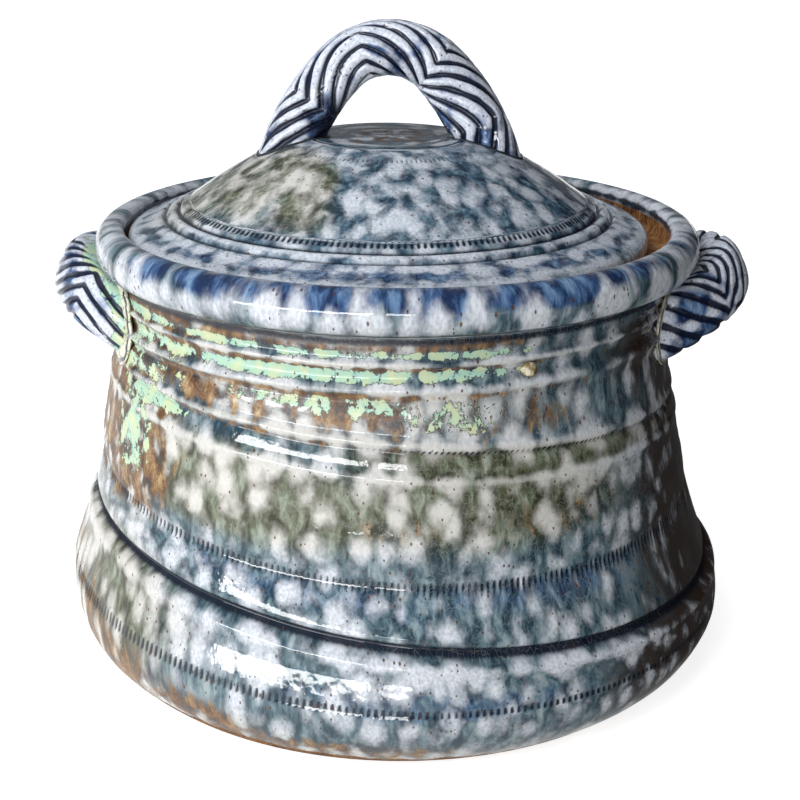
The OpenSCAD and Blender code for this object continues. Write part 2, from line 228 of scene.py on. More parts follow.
# Stoneware under salt glaze: pale drops crawl over a darker slate and olive ground, colour pools
# in every tool mark, iron bleeds through as rust and specks, and the surface is wet and dimpled
def saltGlaze(name, look):
    material, tree = blankMaterial(name)
    weight = glazeWeights
    flow = put(tree, "Attribute", attribute_name="glazeMap", out=1)
    field = {k: put(tree, "Attribute", attribute_name=k, out=2) for k in glazeFields}

    drift = mottle(tree, flow, look["driftSize"], 2.0, out=1)
    shift = put(tree, "VectorMath", {0: drift, 1: (0.5, 0.5, 0.5)}, operation="SUBTRACT")
    reach = (look["drift"],) * 3
    warped = put(tree, "VectorMath", {0: shift, 1: reach, 2: flow}, operation="MULTIPLY_ADD")
    running = put(tree, "VectorMath", {0: warped, 1: (1, 1, look["run"])}, operation="MULTIPLY")

    drops = put(tree, "TexVoronoi", {"Vector": warped, "Scale": 1 / look["dropPitch"], "Smoothness": 0.3,
                                     "Randomness": 0.85}, feature="SMOOTH_F1")
    clouds = mottle(tree, warped, look["cloudSize"], 3.0)
    broad = mottle(tree, flow, look["broadSize"], 2.0)
    grain = mottle(tree, flow, look["grainSize"], 3.0)
    streaks = mottle(tree, running, look["streakSize"], 4.0, Roughness=0.6)

    # How far each place lies inside a pale drop
    inside = timesPlus(tree, clouds, look["cloudWeight"], weight["dropBase"])
    inside = timesPlus(tree, drops, -look["dropWeight"], inside)
    inside = timesPlus(tree, broad, weight["broad"], inside)
    inside = timesPlus(tree, grain, weight["grain"], inside)
    inside = timesPlus(tree, field["pale"], weight["pale"], inside)
    inside = timesPlus(tree, field["cobalt"], look["cobaltBite"], inside)
    drop = stepUp(tree, inside, look["dropFrom"], look["dropTo"])

    # Ground between the drops, darkest round each drop, then olive and cobalt where the kiln left them
    ring = put(tree, "MapRange", {0: inside, 1: look["dropFrom"] - weight["ringWide"], 2: look["dropFrom"],
                                  3: 0.0, 4: weight["ringDark"]})
    depth = put(tree, "Math", {0: streaks, 1: ring}, operation="ADD")
    ground = put(tree, "ValToRGB", {0: depth}, stops=look["ground"])
    oliveHere = timesPlus(tree, clouds, weight["oliveCloud"], field["olive"])
    oliveHere = stepUp(tree, oliveHere, *glazeSteps["olive"])
    ground = cover(tree, oliveHere, ground, put(tree, "ValToRGB", {0: depth}, stops=look["olive"]))
    cobaltHere = timesPlus(tree, clouds, weight["cobaltCloud"], field["cobalt"])
    cobaltHere = stepUp(tree, cobaltHere, *glazeSteps["cobalt"])
    ground = cover(tree, cobaltHere, ground, put(tree, "ValToRGB", {0: depth}, stops=look["cobalt"]))

    # The drops, grey on blue and cream on olive or rust
    paleTone = put(tree, "ValToRGB", {0: grain}, stops=look["pale"])
    creamy = put(tree, "Math", {0: field["rust"], 1: weight["creamRust"]}, operation="MULTIPLY")
    creamy = put(tree, "Math", {0: oliveHere, 1: creamy}, operation="MAXIMUM")
    creamy = put(tree, "Math", {0: creamy, 1: weight["creamMost"]}, operation="MULTIPLY", use_clamp=True)
    paleTone = cover(tree, creamy, paleTone, tint(look["cream"]))
    colour = cover(tree, drop, ground, paleTone)

    # Iron: rust in runs down the wall, thinner over a drop; then the umber layer, a real dark brown along the
    # foot's edge but painted shade on the right side of pot and lid and under the lugs and handle
    rustHere = timesPlus(tree, drop, weight["rustDrop"], streaks)
    rustHere = timesPlus(tree, field["rust"], weight["rustField"], rustHere)
    rustHere = timesPlus(tree, field["pale"], weight["rustPale"], rustHere)
    rustHere = stepUp(tree, rustHere, *glazeSteps["rust"])
    rustBlot = put(tree, "Mix", {0: weight["rustBlot"], 2: clouds, 3: grain})
    rustGrain = put(tree, "Mix", {0: weight["rustMottle"], 2: streaks, 3: rustBlot})
    colour = cover(tree, rustHere, colour, put(tree, "ValToRGB", {0: rustGrain}, stops=look["rust"]))
    umberAndShadeHere = timesPlus(tree, drop, weight["umberDrop"], streaks)
    umberAndShadeHere = timesPlus(tree, field["umberAndShade"], weight["umberField"], umberAndShadeHere)
    umberAndShadeHere = stepUp(tree, umberAndShadeHere, *glazeSteps["umberAndShade"])
    colour = cover(tree, umberAndShadeHere, colour, tint(look["umberAndShade"]))

    # Opaque mint glaze with broken, iron-stained edges
    flakes = mottle(tree, warped, look["flakeSize"], 6.0, Roughness=0.68)
    mintHere = timesPlus(tree, flakes, weight["flake"], weight["flakeBase"])
    mintHere = timesPlus(tree, field["mint"], weight["mintField"], mintHere)
    mintEdge = stepUp(tree, mintHere, *glazeSteps["mintEdge"])
    mintCore = stepUp(tree, mintHere, *glazeSteps["mintCore"])
    mintTone = put(tree, "ValToRGB", {0: clouds}, stops=look["mint"])
    colour = cover(tree, mintEdge, colour, cover(tree, mintCore, tint(look["fringe"]), mintTone))

    # Dark glaze pooled in the tool marks; the same dark is also painted shadow under the rim and painted
    # shade on the handle's inner faces
    poolHere = timesPlus(tree, grain, weight["poolGrain"], field["pool"])
    poolHere = stepUp(tree, poolHere, *glazeSteps["pool"])
    colour = cover(tree, poolHere, colour, tint(look["navy"]))

    # Crazing, a net of fine pale cracks
    net = put(tree, "TexVoronoi", {"Vector": warped, "Scale": 1 / look["crazePitch"]},
              feature="DISTANCE_TO_EDGE")
    line = put(tree, "MapRange", {0: net, 1: weight["crazeWide"], 2: 0.0, 3: 0.0, 4: weight["crazeClear"]})
    line = put(tree, "Math", {0: line, 1: field["craze"]}, operation="MULTIPLY")
    colour = cover(tree, line, colour, tint(look["crack"]))

    # Iron specks, near black to rust
    cell = putNode(tree, "TexVoronoi", {"Vector": flow, "Scale": 1 / look["speckPitch"]})
    lot = put(tree, "SeparateColor", {0: cell.outputs["Color"]})
    speck = put(tree, "MapRange", {0: lot, 1: weight["speckFrom"], 2: 1.0, 3: 0.0, 4: weight["speckMost"]})
    speck = put(tree, "Math", {0: speck, 1: cell.outputs["Distance"]}, operation="SUBTRACT")
    speck = put(tree, "MapRange", {0: speck, 1: 0.0, 2: weight["speckEdge"], 3: 0.0, 4: weight["speckDark"]})
    colour = cover(tree, speck, colour, put(tree, "ValToRGB", {0: lot}, stops=look["speck"]))

    # Bare clay where the glaze was wiped off
    bareHere = timesPlus(tree, flakes, weight["bareFlake"], field["bare"])
    bareHere = stepUp(tree, bareHere, *glazeSteps["bare"])
    clayGrain = put(tree, "Mix", {0: weight["clayGrain"], 2: flakes, 3: grain})
    colour = cover(tree, bareHere, colour, put(tree, "ValToRGB", {0: clayGrain}, stops=look["clay"]))
    rough = put(tree, "MapRange", {0: bareHere, 3: look["gloss"], 4: weight["clayRough"]})
    rough = timesPlus(tree, rustHere, weight["rustDry"], rough)

    dimple = mottle(tree, flow, look["dimpleSize"], 1.5)
    bump = put(tree, "Bump", {"Height": dimple, "Strength": look["dimple"], "Distance": look["dimpleDeep"]})
    shader = put(tree, "BsdfPrincipled", {"Base Color": colour, "Roughness": rough, "IOR": 1.5,
                                          "Normal": bump})
    put(tree, "OutputMaterial", {"Surface": shader})
    return material


potLook = {
    "driftSize": 6 * mm, "drift": 5 * mm, "run": 0.4, "dropPitch": 7.5 * mm, "cloudSize": 5 * mm,
    "broadSize": 24 * mm, "grainSize": 0.9 * mm, "streakSize": 3.4 * mm, "flakeSize": 5 * mm,
    "crazePitch": 1.8 * mm, "speckPitch": 1.5 * mm,
    "dimpleSize": 2.4 * mm, "dimple": 0.2, "dimpleDeep": 0.4 * mm, "gloss": 0.06,
    "dropFrom": -0.6, "dropTo": -0.08, "dropWeight": 1.0, "cloudWeight": 0.5, "cobaltBite": -0.2,
    "ground": [(0.3, "2b3f4a"), (0.42, "546a73"), (0.54, "809195"), (0.68, "a4b0b0")],
    "olive": [(0.3, "353622"), (0.42, "5c6049"), (0.54, "838a79"), (0.68, "a4aa9f")],
    "cobalt": [(0.3, "182a4c"), (0.42, "38557f"), (0.54, "6884a5"), (0.68, "98abc0")],
    "pale": [(0.35, "b5bac1"), (0.65, "d5d9df")],
    "rust": [(0.4, "2b190d"), (0.47, "573818"), (0.53, "7d5a30"), (0.59, "a0835a"), (0.67, "c6b596")],
    "mint": [(0.35, "9cc5c0"), (0.5, "a5c7b0"), (0.65, "c2caa2")],
    "clay": [(0.4, "3f2412"), (0.5, "7d5029"), (0.6, "a47c50")],
    "speck": [(0.4, "1d1814"), (0.75, "2f2116"), (0.95, "55341c")],
    "cream": "c8c2b4", "umberAndShade": "33251d", "fringe": "3d372e", "navy": "101a29", "crack": "c4cccc",
}
lidLook = dict(
    potLook, dropPitch=7.2 * mm, cloudSize=6.2 * mm, dropWeight=0.6, cloudWeight=1.1, dropFrom=-0.16,
    dropTo=0.32,
    pale=[(0.35, "aeb6bf"), (0.65, "ced4dc")],
    ground=[(0.3, "233748"), (0.42, "476070"), (0.54, "718792"), (0.68, "99a9b0")])
strapLook = dict(
    potLook, dropFrom=-1.0, dropTo=-0.5, dropPitch=7 * mm, dimple=0.12, navy="0b152b", cobaltBite=-0.6,
    pale=[(0.35, "b3bac8"), (0.65, "d8dde6")],
    ground=[(0.3, "1c2f52"), (0.42, "3d5680"), (0.54, "7083a2"), (0.68, "a0abbc")])
slipLook = dict(
    potLook, dropFrom=-1.05, dropTo=-0.6, pale=[(0.35, "cfcab0"), (0.65, "e0dccc")],
    ground=[(0.3, "8f8258"), (0.42, "b3a77c"), (0.54, "cfc8a4"), (0.68, "dcd8be")])
potGlaze = saltGlaze("salt_glazed_stoneware_pot", potLook)
lidGlaze = saltGlaze("salt_glazed_stoneware_lid", lidLook)
strapGlaze = saltGlaze("salt_glazed_stoneware_strap", strapLook)
slip = saltGlaze("salt_glazed_cream_slip", slipLook)
print("glazes mixed")


# Pot: heights are those at the front; a wall row tilts, bends and leans round the pot
pot = {
    "columns": 676, "rowStep": 2.4, "fineStep": 0.8, "fineReach": 3,
    "wall": [  # height, radius, tilt, bend, lean
        (0, 104.8, 0, 0, 1), (2, 107, 0, 0, 1.2), (5, 109.7, 0, 0, 1.2), (9, 112.1, 0, 0, 0.8),
        (14, 113.7, 1, 0, 0.6), (18.5, 114, 3, 0.8, 0.3), (21.4, 113.6, 5.6, 2.1, 0.6),
        (30, 111, 9, 1.8, 2.4), (35.5, 109.1, 11.4, 1.6, 3.2), (39.2, 107.3, 11.7, 1.5, 2.9),
        (43, 106, 11.5, 1.6, 2.4), (49, 103.5, 9, 3, 1.2), (55.6, 101, 5.7, 4.9, 0),
        (66, 100, 5, 2.5, -0.6), (76, 98, 5, 1.5, -1), (88, 95.8, 6.5, 1.2, -0.7),
        (97, 93.8, 6.5, 0, -0.7), (105, 92.7, 3, 0, -1), (112.5, 91.6, 0, 0, -1),
        (119.8, 91.6, 0, 0, -0.8), (127.3, 91.9, 0, 0, -0.4)],
    "beads": [  # height, half width, how far it stands out
        (119.8, 1.2, 0.9), (112.5, 2.4, 1.5), (97, 2.2, 0.8), (87, 2.2, 0.5), (35, 3, 0.9)],
    "grooves": [  # height, half width, depth, how dark the glaze pools
        # the dark in the shallow groove at 126.4, just under the rim, is painted shadow of the rim as well as
        # pooled glaze
        (39.3, 2.4, 2, 1.0), (126.4, 2.2, 0.3, 0.7), (122.4, 1.3, 0.5, 0.1), (116.2, 2.2, 0.6, 0.1),
        (108.6, 1.4, 0.5, 0.3), (94.4, 1.2, 0.5, 0.3)],
    "roulettes": [  # height, half height, depth, the turn from which it is clear, how dark
        (55.6, 1.8, 0.6, -180, 1.0), (21.4, 1.5, 0.7, -180, 1.1), (95.2, 0.9, 0.3, -95, 0.9)],
    "rim": [(91.9, 127.3), (92.7, 128.7), (95.3, 128.9), (97.8, 130.6), (99.2, 133.6), (99.3, 136.8),
            (98.1, 139.8), (95.8, 141.7), (92.9, 142.2), (90.5, 141.4), (89.6, 139.4)],
    "gallery": [(89.6, 139.4), (89.5, 136.4), (89.4, 133.6), (88.6, 133), (84, 133), (79.6, 133),
                (79, 132.4), (79, 129.2), (80.2, 127)],
    "inside": [(80.2, 127), (84.8, 119), (85.2, 108), (88, 88), (92.5, 66), (97.6, 45), (102.4, 28),
               (101.5, 17), (96, 11), (84, 9), (60, 9), (30, 9), (0, 9)],
    "underside": [(0, 0), (35, 0), (70, 0), (98, 0)],
    "mapRadius": 90,  # radius at which hand-made unevenness is looked up
    "waver": 0.35, "waverSize": 30,  # how far rings and grooves wander up and down
    "tickUneven": 0.4, "tickSize": 7, "tickFade": 12,
    "uneven": 0.25, "unevenSize": 26,  # how far the wall is out of true
    "throwing": 0.12, "throwingRate": 1.1,  # fine throwing rings between the shoulder line and the neck
    "rimLean": -0.4, "rimPale": 139, "rimCrest": 154, "rimPoolAndShade": 131,
    "bareFoot": 3, "bareMore": 5.5, "bareTurn": 138, "bareWide": 60, "footTop": 12,
    "glazeRadius": 95, "glazeRise": 0.72, "glazeRiseIn": 0.5,
}

# Where each colour lies, most as the kiln left it, the umber layer partly as painted shade: turn round the
# pot, row, how wide, how tall, how strong
potPatches = {
    "mint": [(-155, 122.6, 30, 2.2, 1.15), (-112, 122.4, 36, 1.9, 1.1), (-78, 122.2, 18, 1.7, 1.05),
             (-150, 116.2, 32, 3, 1.05), (-108, 116.2, 36, 2.7, 1.2), (-80, 116.2, 16, 2.4, 1.15),
             (-98, 106.5, 20, 4, 1.0), (-80, 104.5, 13, 5.5, 0.85), (-116, 107, 10, 3, 0.9),
             (-141, 93.5, 14, 4, 1.15), (-147, 80, 8, 16, 1.05), (-151, 108, 20, 14, 0.95)],
    "pale": [(-108, 136, 75, 7, 0.6), (-112, 30, 46, 7, 0.35), (-112, 48, 40, 7, 0.4),
             (-100, 97, 60, 3, 0.3)],
    "rust": [(-110, 105, 50, 9, 0.9), (-70, 104, 15, 7, 0.65), (-166, 90, 30, 42, 1.2),
             (-147, 74, 15, 24, 1.25), (-140, 88, 10, 9, 1.05), (-115, 118.6, 64, 2, 1.1),
             (-112, 110.4, 64, 2.2, 1.05), (-115, 125, 62, 3, 0.9), (-150, 118, 30, 11, 0.95),
             (-110, 96.6, 48, 3, 1.0), (-88, 72, 10, 5, 0.6), (-62, 74, 12, 6, 0.6),
             (178, 16, 44, 20, 0.9), (-152, 11, 28, 12, 1.05), (-124, 8, 18, 8, 0.95),
             (-98, 6, 20, 5.5, 0.85), (-112, 2, 50, 4.5, 1.0), (-60, 1, 50, 2.2, 0.75),
             (90, 60, 70, 50, 0.5)],
    "olive": [(-120, 76, 40, 15, 1), (-76, 80, 34, 16, 0.9), (-66, 92, 40, 6, 0.9), (-152, 28, 28, 18, 0.95),
              (60, 80, 60, 30, 0.6), (150, 70, 40, 30, 0.6)],
    "cobalt": [(-106, 50, 34, 6, 0.5), (-62, 53, 28, 4.5, 0.55), (-80, 24, 34, 6, 0.5), (-30, 44, 16, 8, 0.4),
               (-104, 146, 13, 6.5, 1.6), (-83, 146, 10, 7, 1.7), (-63, 146, 15, 6, 1.6),
               (-122, 146, 9, 6, 1.3), (-138, 146, 6, 7, 1.1), (-42, 147, 9, 5, 0.8), (-20, 147, 8, 6, 0.7),
               (40, 148, 40, 4, 0.6), (140, 148, 30, 4, 0.6)],
    "craze": [(-68, 80, 34, 60, 1)],
    # umber: painted shade over the right side, the right of the neck and the front-right skirt; along the
    # foot it is a real thin brown line
    "umberAndShade": [(2, 60, 46, 80, 1.2), (-4, 115, 44, 16, 1.2), (-32, 20, 26, 28, 0.9),
              (-146, 4, 24, 4, 0.7), (-120, 3, 20, 3.5, 0.7), (-96, 2.5, 16, 2.5, 0.6)],
}
wallTop = pot["wall"][-1][0]


def potRows():  # radius, height, tilt, bend, lean and mark, which is the way along the outline
    rows = [(r, z, 0, 0, 0, z) for r, z in pot["underside"]]
    fine = [f[0] for f in pot["beads"] + pot["grooves"] + pot["roulettes"]]
    at = 0.0
    while at < wallTop - 0.5:
        radius, *sway = through(pot["wall"], at)
        rows.append((radius, at, *sway, at))
        near = min(abs(at - f) for f in fine)
        at += pot["fineStep"] if near < pot["fineReach"] else pot["rowStep"]
    mark = wallTop
    last = None
    for part, steps in (("rim", 2), ("gallery", 1), ("inside", 1)):
        for radius, height in smoothRun(pot[part], steps):
            if last:
                mark += math.dist(last, (radius, height))
            if last != (radius, height):
                lean = pot["rimLean"] * ease(135, 127, height) if part == "rim" else 0
                rows.append((radius, height, 0, 0, lean, mark))
            last = (radius, height)
    return rows


def wallMarks(column, turn, cosine, sine, radius, height, mark):  # rings, grooves and ticks of the outer wall
    move, pool, pale = 0.0, 0.0, 0.0
    spot = (cosine * pot["mapRadius"], sine * pot["mapRadius"])
    waver = pot["waver"] * wander(*spot, mark / 3, pot["waverSize"])
    for at, half, out in pot["beads"]:
        lift = bell(mark + waver - at, half)
        move += out * lift
        pale = max(pale, lift)
    for at, half, deep, dark in pot["grooves"]:
        cut = bell(mark + waver - at, half)
        move -= deep * cut
        pool = max(pool, dark * cut)
    if column % 2 == 0:
        for at, half, deep, clear, dark in pot["roulettes"]:
            cut = ease(1, 0.5, abs(mark - at) / half)
            cut *= 0.85 + pot["tickUneven"] * wander(*spot, at, pot["tickSize"])
            cut *= ease(clear - pot["tickFade"], clear + pot["tickFade"], turn) if clear > -180 else 1
            move -= deep * cut
            pool = max(pool, min(1.0, dark * cut))
    untrue = wander(cosine * radius, sine * radius, height, pot["unevenSize"])
    move += pot["uneven"] * untrue * ease(0, 10, mark)
    rings = math.sin(mark * pot["throwingRate"] + 2 * cosine)
    move += pot["throwing"] * rings * ease(58, 66, mark) * ease(96, 90, mark)
    return move, pool, pale


def makePot():
    rows = potRows()
    rimIn = wallTop + runLength(pot["rim"])
    ledge = rimIn + runLength(pot["gallery"])
    bm, layers = sheetOfRows(len(rows), pot["columns"])
    near = [{k: reachingRow(v, row[5]) for k, v in potPatches.items()} for row in rows]
    for vert in bm.verts:
        column, row = round(vert.co.x), round(vert.co.y)
        radius, height, tilt, bend, lean, mark = rows[row]
        turn, cosine, sine = turnAt(column, pot["columns"])
        spot = (cosine * pot["mapRadius"], sine * pot["mapRadius"], 0)
        outer = 0 < mark <= wallTop
        move, pool, pale = 0.0, 0.0, 0.0
        if outer:
            move, pool, pale = wallMarks(column, turn, cosine, sine, radius, height, mark)
        fields = {k: strongest(v, turn) for k, v in near[row].items() if v} if radius > 60 else {}
        if wallTop < mark < rimIn:
            pale = 0.5 + 0.4 * bell(mark - pot["rimPale"], 7) + 0.4 * bell(mark - pot["rimCrest"], 3)
            # dark band on the rim's lower bulge: pooled glaze and painted shadow under the rim
            pool = 0.8 * bell(mark - pot["rimPoolAndShade"], 4.5)
        if mark > rimIn - 1:  # bare clay in the gallery, with glaze pooled along its edge
            edge = rimIn + 1.6 + 1.2 * wander(*spot, 6)
            fields["bare"] = ease(edge - 0.8, edge + 0.8, mark) * ease(ledge + 2, ledge, mark)
            pool = max(pool, 0.9 * bell(mark - edge + 1, 2))
        if mark < pot["footTop"]:  # the foot was wiped, most on the left
            bareTo = pot["bareFoot"] + pot["bareMore"] * bell(turn + pot["bareTurn"], pot["bareWide"])
            fields["bare"] = 0.9 * ease(bareTo, 0.4 * bareTo, mark + 1.5 * wander(*spot, 5))
        fields["pool"], fields["pale"] = pool, max(pale, fields.get("pale", 0))
        for name, value in fields.items():
            vert[layers[name]] = value
        around = pot["glazeRadius"] if mark > wallTop else radius
        rise = mark * (pot["glazeRise"] if outer else pot["glazeRiseIn"])
        vert[layers["glazeMap"]] = Vector((cosine * around, sine * around, rise)) * mm
        reach = radius + lean * cosine + move
        vert.co = (reach * cosine, reach * sine, height - tilt * cosine + bend * cosine * cosine)
    finishPiece(bm, "pot_glazed", potGlaze, "pot", ["pot_body"])


makePot()


# Kiln drip: a glassy drop, cream and olive, that fell on the neck between the rings
drip = {
    "turn": math.radians(-66), "reach": 92.2, "height": 116.6, "size": (2.6, 1.4, 2.1),
    "lumps": 0.25, "lumpSize": 0.8, "mottleSize": 2 * mm,
    "tones": [(0.35, "67502f"), (0.5, "aa9a74"), (0.65, "dcd6c0")],
}


def makeDrip():
    material, tree = blankMaterial("olive_kiln_drip")
    cloud = put(tree, "TexNoise", {"Vector": put(tree, "TexCoord", out=3), "Scale": 1 / drip["mottleSize"]})
    tone = put(tree, "ValToRGB", {0: cloud}, stops=drip["tones"])
    shader = put(tree, "BsdfPrincipled", {"Base Color": tone, "Roughness": 0.08, "IOR": 1.5})
    put(tree, "OutputMaterial", {"Surface": shader})
    turn = drip["turn"]
    bm = bmesh.new()
    bmesh.ops.create_icosphere(bm, subdivisions=4, radius=1)
    for vert in bm.verts:
        vert.co *= 1 + drip["lumps"] * wander(*vert.co, drip["lumpSize"])
    bmesh.ops.scale(bm, verts=bm.verts, vec=drip["size"])
    facing = Matrix.Rotation(turn + math.pi / 2, 3, "Z")
    bmesh.ops.rotate(bm, verts=bm.verts, cent=(0, 0, 0), matrix=facing)
    place = (drip["reach"] * math.cos(turn), drip["reach"] * math.sin(turn), drip["height"])
    bmesh.ops.translate(bm, verts=bm.verts, vec=place)
    finishPiece(bm, "kiln_drip", material, "pot", [])


makeDrip()


# Lid: a run over the top from edge to middle and a run underneath
lid = {
    "columns": 434,
    "edge": [(84.6, 133.4), (85.6, 134.3), (85.8, 136.4), (85.4, 138.6), (84, 139.9)],
    "flange": [(84, 139.9), (81, 141.1), (77.5, 142.5), (75, 143.5)],
    "ring": [(75, 143.5), (73.5, 144), (72.2, 144.6), (70.8, 145.2), (69.2, 145.8), (67.6, 146.9), (66, 148)],
    "dome": [(66, 148), (62, 150.6), (56, 154.7), (50, 158.3), (44, 161.7), (38, 164.7), (34, 166.2),
             (31, 167.2), (28, 168.1)],
    "disc": [(28, 168.1), (26.2, 168.5), (25, 168.5), (23.5, 168.5), (16, 168.5), (8, 168.6), (0, 168.6)],
    "hollow": [(0, 162.2), (12, 162.2), (25, 162), (40, 157.5), (55, 149), (65, 140), (70, 135.2),
               (72.5, 133.5), (78, 133.4), (84.6, 133.4)],
    "grooves": [  # radius, half width, depth, how dark
        (73.6, 1.1, 0.9, 0.6), (69.1, 1.1, 1, 0.75), (26, 0.9, 0.45, 0.9)],
    "beads": [(71.4, 1.8, 0.35), (83.6, 2, 0.1), (77, 3, 0)],
    "ticks": [  # radius, half width, depth, columns from tick to tick
        (66.6, 1.5, 0.5, 2), (34.5, 1.7, 0.32, 3)],
    "tickDark": 2.2, "uneven": 0.12, "unevenSize": 18, "edgePale": 0.8,
    "discPale": 2.6, "discDark": 0.3,  # the disc under the handle is blotched
    "astray": 26, "astraySize": 17,  # so that no patch of colour ends along a straight line
}
lidPatches = {  # turn, radius, how wide, how broad, how strong
    "olive": [(-140, 48, 36, 18, 1), (-170, 55, 34, 24, 0.8), (100, 50, 50, 20, 0.4)],
    "cobalt": [(-30, 45, 50, 28, 0.4), (-85, 72, 64, 3, 0.4), (-80, 79, 75, 5.5, 0.75)],
    # umber: a brown ring round the middle, and painted shade over the lid's right side
    "umberAndShade": [(-90, 12, 360, 14, 0.4), (20, 50, 40, 40, 0.55)],
    "rust": [(-90, 10, 360, 12, 0.3)],
}


def lidMarks(column, cosine, sine, radius, height):  # grooves, beads and ticks of the lid's top
    move, pool, pale = 0.0, 0.0, 0.0
    for at, half, deep, dark in lid["grooves"]:
        cut = bell(radius - at, half)
        move -= deep * cut
        pool = max(pool, dark * cut)
    for at, half, out in lid["beads"]:
        lift = bell(radius - at, half)
        move += out * lift
        pale = max(pale, lift)
    for at, half, deep, period in lid["ticks"]:
        if column % period == 0:
            cut = bell(radius - at, half)
            move -= deep * cut
            pool = max(pool, min(1.0, deep * lid["tickDark"] * cut))
    untrue = wander(cosine * radius, sine * radius, height, lid["unevenSize"])
    move += lid["uneven"] * untrue * ease(2, 12, radius)
    return move, pool, pale


def makeLid():
    rows = []
    for part, steps in (("edge", 2), ("flange", 2), ("ring", 4), ("dome", 4), ("disc", 3), ("hollow", 2)):
        for point in smoothRun(lid[part], steps):
            if not rows or math.dist(rows[-1][:2], point) > 0.01:
                rows.append((*point, part))
    bm, layers = sheetOfRows(len(rows), lid["columns"])
    near = [{k: reachingRow(v, row[0]) for k, v in lidPatches.items()} for row in rows]
    for vert in bm.verts:
        column, row = round(vert.co.x), round(vert.co.y)
        radius, height, part = rows[row]
        turn, cosine, sine = turnAt(column, lid["columns"])
        x, y = cosine * radius, sine * radius
        move, pool, pale = 0.0, 0.0, 0.0
        if part not in ("hollow", "edge"):
            move, pool, pale = lidMarks(column, cosine, sine, radius, height)
        if part == "edge":
            pale = lid["edgePale"]
        elif part == "disc":
            pale = lid["discPale"] * wander(cosine * 12, sine * 12, radius * 2, 5) - lid["discDark"]
        astray = turn + lid["astray"] * wander(x, y, 0, lid["astraySize"])
        fields = {k: strongest(v, astray) for k, v in near[row].items() if v} if part != "hollow" else {}
        fields["pool"], fields["pale"] = pool, pale
        for name, value in fields.items():
            vert[layers[name]] = value
        if part in ("edge", "flange", "ring"):
            spot = (x, y, radius * 0.9)
        elif part == "disc":
            spot = (cosine * 10, sine * 10, radius * 1.2 + 300)
        else:
            spot = (x, y, radius * 0.2 + (200 if part == "hollow" else 0))
        vert[layers["glazeMap"]] = Vector(spot) * mm
        vert.co = (lidX + radius * cosine, radius * sine, height + move)
    finishPiece(bm, "lid_glazed", lidGlaze, "lid", ["lid"])


makeLid()


# Straps: a tube of rows that follows a bent line, carved with zigzags, its ends sunk in what carries it
handCut = {  # how the carving strays, each with the length over which it does
    "along": 0.5, "alongSize": 11, "across": 0.5, "acrossSize": 8, "wide": 0.35, "wideSize": 5,
    "fadeFrom": -0.65, "fadeTo": -0.15, "fadeSize": 15, "ridgeHalf": 2.1, "plainEase": 4,
    "pool": 1.5, "crestPale": 0.4, "cobalt": 0.5, "cobaltWide": 2.2,
}
luting = {  # how the beads of slip stray, crack and are rounded
    "segments": 20, "crackAt": 0.7, "crackStray": 0.5, "crackSize": 3, "crackHalf": 0.35, "crackSink": 0.5,
    "uneven": 0.4, "highSize": 4, "wideSize": 5, "pale": 0.5,
}


def mirrored(stations, length):  # the same stations again from the far end
    return stations + [(length - at, value) for at, value in reversed(stations)]


def superRound(angle, power):  # rounded square, as the cosine and sine are for a circle
    c, s = math.cos(angle), math.sin(angle)
    return math.copysign(abs(c) ** (2 / power), c), math.copysign(abs(s) ** (2 / power), s)


def strapPoint(strap, share, angle, grow=0.0):
    centre, outward, across, thick = strap["line"](share)
    x, y = superRound(angle, strap["power"])
    offset = outward * (x * thick / 2) + across * (y * strap["wide"] / 2)
    return centre + offset + offset.normalized() * grow


def burial(strap, angle, side, depth):  # share of the line at which this edge of the strap is that deep
    near, far = 0.5, 0.5 + side * 0.5
    for _ in range(20):
        middle = (near + far) / 2
        if strap["depth"](strapPoint(strap, middle, angle)) > depth:
            far = middle
        else:
            near = middle
    return near


def carving(strap, plain, along, around):  # how deep and how near a carved line is, and how clear the carving
    steep = strap["drift"](along + 0.5) - strap["drift"](along - 0.5)
    drift = strap["drift"](along + handCut["along"] * wander(*plain, handCut["alongSize"]))
    gap = linear(strap["gaps"], along)
    offLine = (around - drift + handCut["across"] * wander(*plain, handCut["acrossSize"])) / gap
    offLine = abs(offLine - round(offLine)) * gap / math.hypot(1, steep)
    half = linear(strap["lineHalf"], along) * (1 + handCut["wide"] * wander(*plain, handCut["wideSize"]))
    worn = wander(*(plain * 1.3), handCut["fadeSize"]) + strap["keep"]
    fade = ease(handCut["fadeFrom"], handCut["fadeTo"], worn)
    fade *= ease(strap["plainFrom"] + handCut["plainEase"], strap["plainFrom"], around)
    return offLine, half, fade


